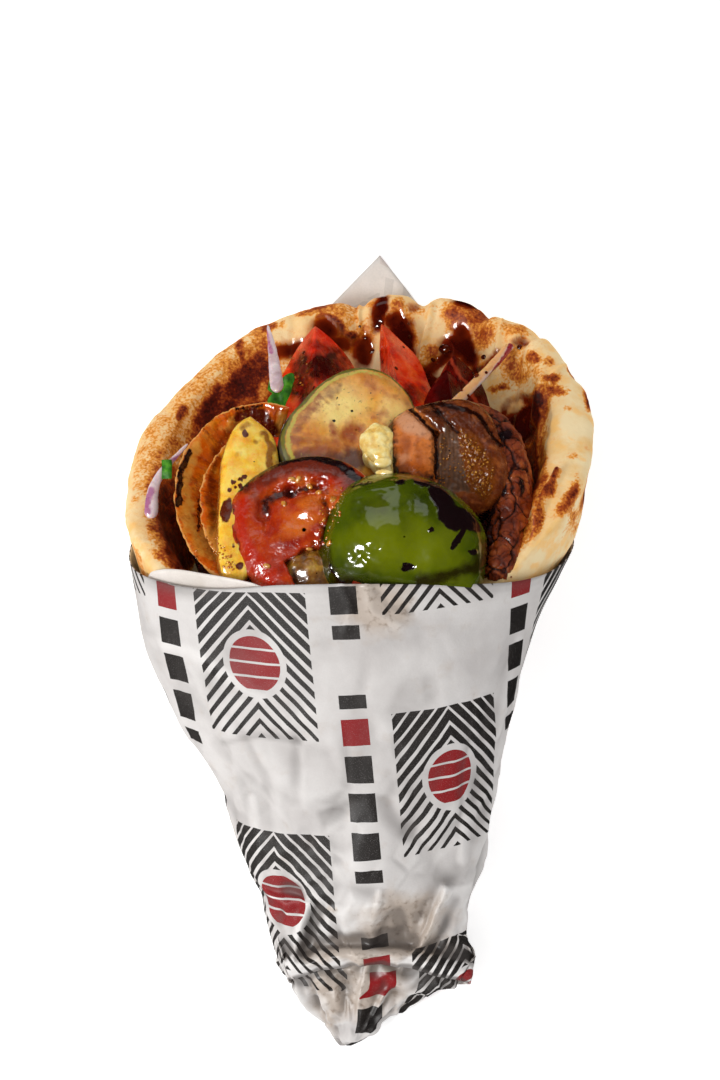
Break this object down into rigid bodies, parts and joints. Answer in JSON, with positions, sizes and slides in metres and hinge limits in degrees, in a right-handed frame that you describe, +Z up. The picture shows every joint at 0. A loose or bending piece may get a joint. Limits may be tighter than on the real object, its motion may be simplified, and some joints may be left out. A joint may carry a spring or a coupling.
{
  "type": "grilled vegetable pita in a paper wrap",
  "caption": "Warm flatbread rolled into a cone of printed paper and filled with grilled vegetables, raw tomato and red onion, lying on its back.",
  "frame": {"origin": "middle of the bounding box's bottom face, on the surface that the wrap lies on", "axes": "+Y from the crumpled tail of the paper to the open mouth, +Z up out of the surface towards the shown side, +X to the right of the shown side"},
  "size_m": [0.1161, 0.204, 0.0812],
  "materials": {
    "wrap_paper": "thin white wrapping paper with a printed pattern and grease stains",
    "flatbread": "grilled flatbread, matt, with toasted and sauced patches",
    "sauced_core": "dark balsamic sauce over chopped vegetables, wet",
    "pepper_skin": "grilled green pepper skin, wet and glossy",
    "grilled_tomato": "grilled tomato flesh, wet",
    "zucchini_flesh": "grilled zucchini flesh with a green skin edge, moist",
    "zucchini_seeds": "soft pale seeds and pulp, moist",
    "mushroom_flesh": "grilled mushroom flesh and gills, moist",
    "mushroom_skin": "grilled mushroom cap skin, wrinkled and glazed",
    "squash_flesh": "grilled yellow squash, moist with charred spots",
    "squash_end_flesh": "grilled squash end, moist",
    "grilled_onion": "grilled onion layer, amber and glazed",
    "raw_tomato": "raw tomato flesh and skin, wet",
    "red_onion": "raw red onion, moist, white with a purple skin edge"
  },
  "bodies": {
    "root": {"paper_wrap": "wrap_paper", "pita_bread": "flatbread", "filling_core": "sauced_core", "green_pepper": "pepper_skin", "tomato_slice": "grilled_tomato", "zucchini_slice": "zucchini_flesh", "zucchini_pulp": "zucchini_seeds", "mushroom_half": "mushroom_flesh", "mushroom_cap": "mushroom_skin", "yellow_squash": "squash_flesh", "squash_end": "squash_end_flesh", "onion_petal_outer": "grilled_onion", "onion_petal_inner": "grilled_onion", "tomato_wedge_left": "raw_tomato", "tomato_wedge_middle": "raw_tomato", "tomato_wedge_back": "raw_tomato", "tomato_wedge_front": "raw_tomato", "red_onion_left": "red_onion", "red_onion_right": "red_onion", "red_onion_far": "red_onion"}
  },
  "joints": []
}
